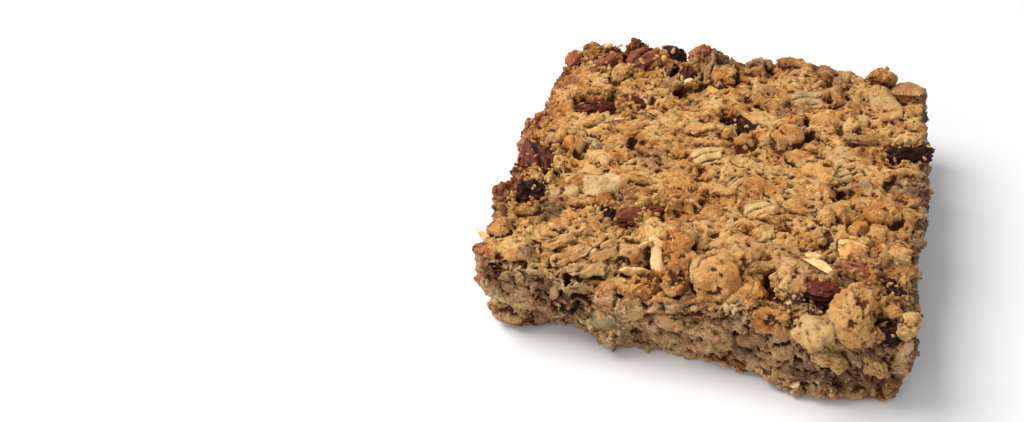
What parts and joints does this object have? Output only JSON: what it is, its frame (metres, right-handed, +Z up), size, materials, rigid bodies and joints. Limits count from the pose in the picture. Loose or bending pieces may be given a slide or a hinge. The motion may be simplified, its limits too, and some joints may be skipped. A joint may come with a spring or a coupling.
{
  "type": "granola bar",
  "caption": "Square-cut baked oat granola bar, lumpy on top, with pecan, raisin, almond and pumpkin seed pieces set in its skin and a flat base to lie on.",
  "frame": {"origin": "centre of the bar's outline, on the flat base it lies on", "axes": "+Z up out of the top, +X along the bar's longer side towards the knife-cut right side, +Y towards the back that baked against the tin"},
  "size_m": [0.0914, 0.0866, 0.0251],
  "materials": {
    "oat": "baked oats and dough, rough, browned at the tin edges",
    "pecan": "satin nut skin",
    "raisin": "wrinkled, slightly glossy",
    "seed": "satin green seed skin",
    "almond": "roasted nut, satin"
  },
  "bodies": {
    "root": {"oat_slab": "oat", "pecan_back_left": "pecan", "pecan_back": "pecan", "pecan_dark": "pecan", "pecan_left_rear": "pecan", "pecan_sliver": "pecan", "pecan_left": "pecan", "pecan_left_edge": "pecan", "pecan_middle": "pecan", "pecan_front_right": "pecan", "pecan_crevice": "pecan", "raisin_back": "raisin", "raisin_left": "raisin", "raisin_left_small": "raisin", "raisin_right": "raisin", "raisin_middle": "raisin", "raisin_front_right": "raisin", "raisin_front": "raisin", "raisin_corner": "raisin", "pumpkin_seed": "seed", "almond_chip": "almond"}
  },
  "joints": []
}
